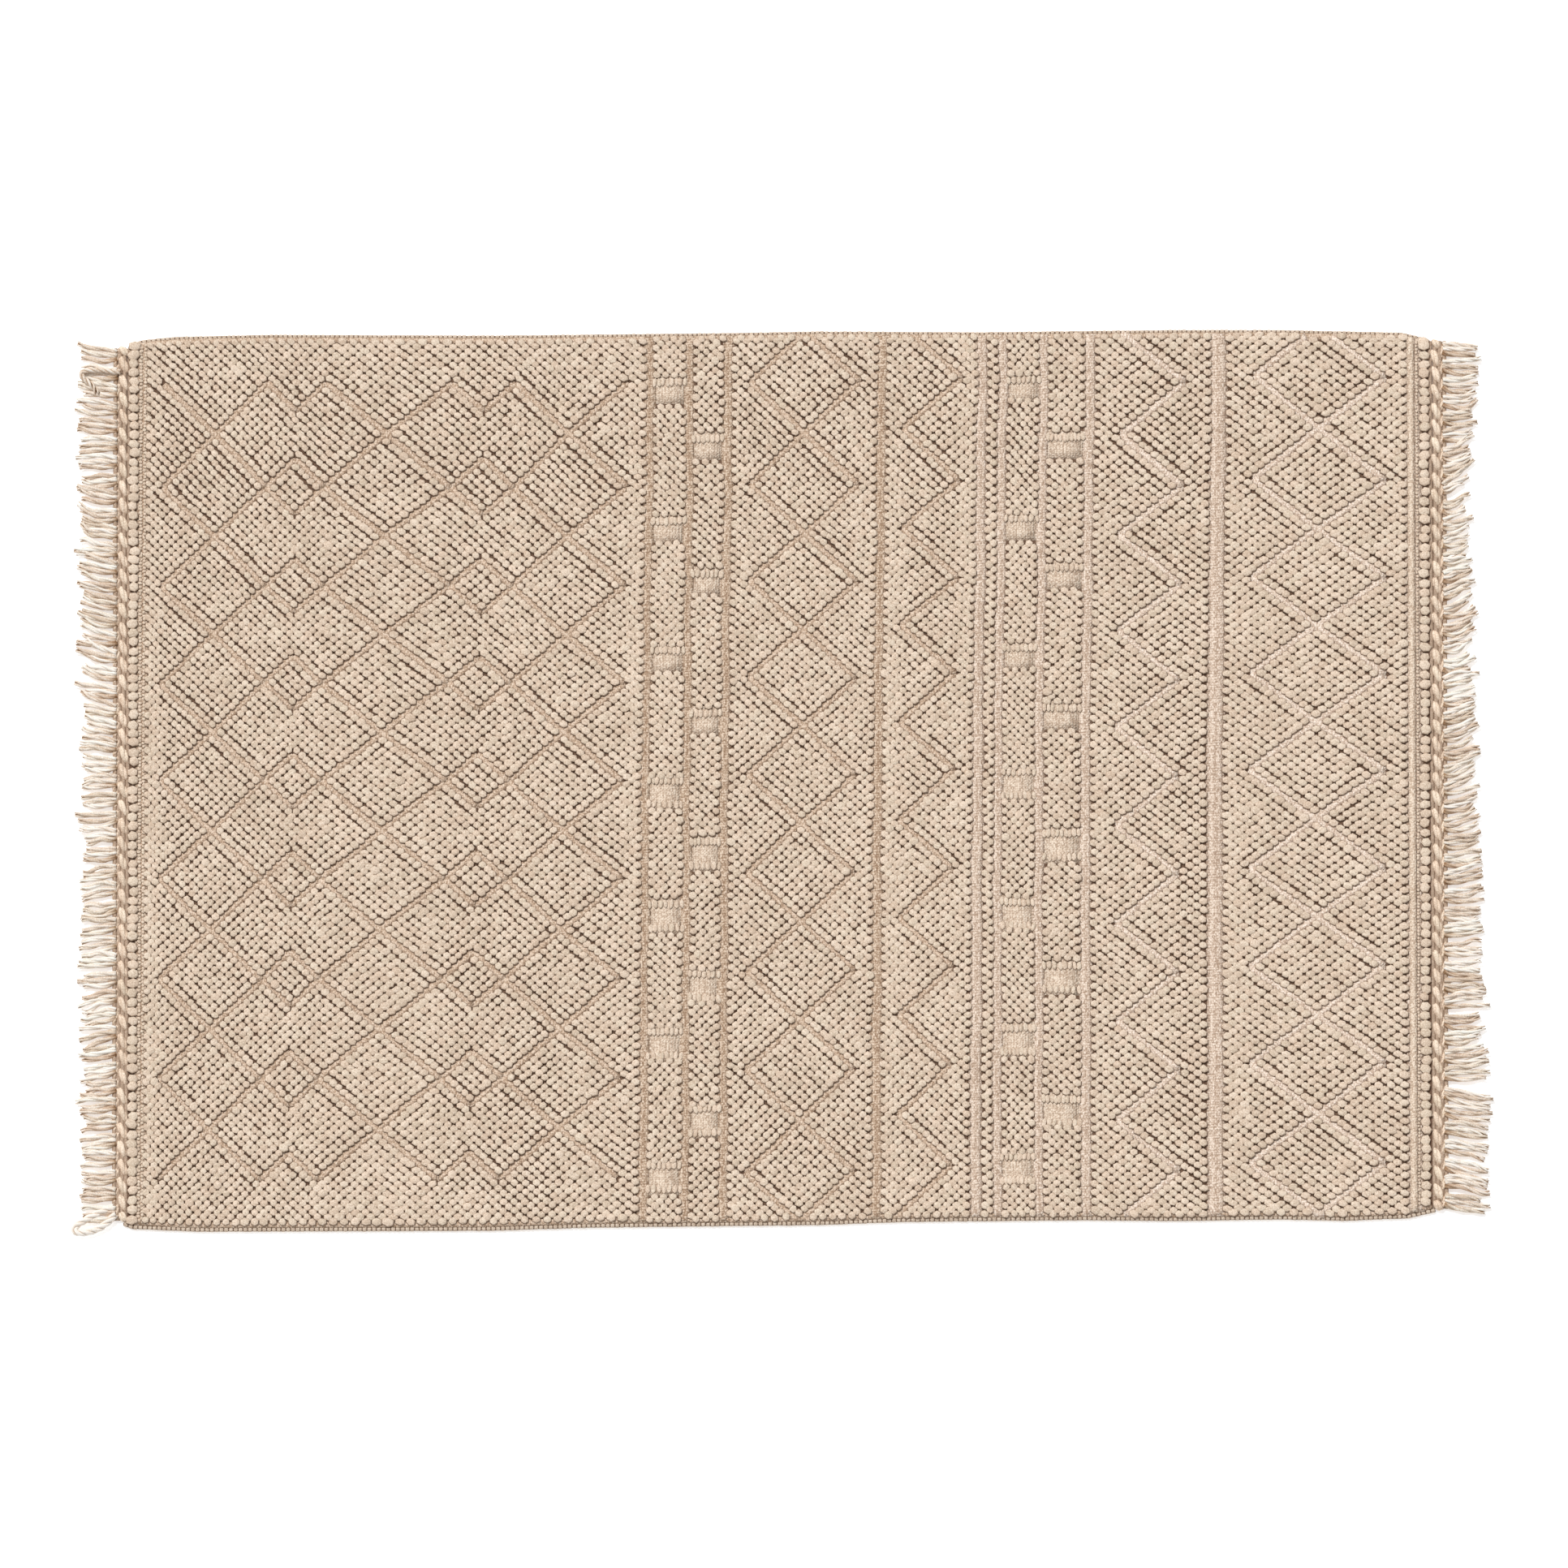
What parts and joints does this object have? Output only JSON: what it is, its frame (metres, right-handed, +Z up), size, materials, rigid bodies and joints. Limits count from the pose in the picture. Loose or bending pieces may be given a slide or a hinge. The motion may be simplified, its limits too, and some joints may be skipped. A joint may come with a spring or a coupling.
{
  "type": "outdoor rug",
  "caption": "Flat rectangular woven rug with raised looped lozenges, zigzags and bars, corded long sides and a twined, fringed heading at each end.",
  "frame": {"origin": "centre of the rug's outline, on the floor it lies on", "axes": "+X along the rug toward the end with the bold lozenge band, +Y across it toward the back long side, +Z up"},
  "size_m": [2.44, 1.6174, 0.013],
  "materials": {
    "loop_cloth": "matt looped yarn, mottled sand, cream and rose beige",
    "edge_yarn": "matt overcast yarn, sand beige",
    "fringe_yarn": "matt plied yarn, cream"
  },
  "bodies": {
    "root": {"rug_body": "loop_cloth", "edge_cord_back": "edge_yarn", "edge_cord_front": "edge_yarn", "fringe_left": "fringe_yarn", "fringe_right": "fringe_yarn"}
  },
  "joints": []
}
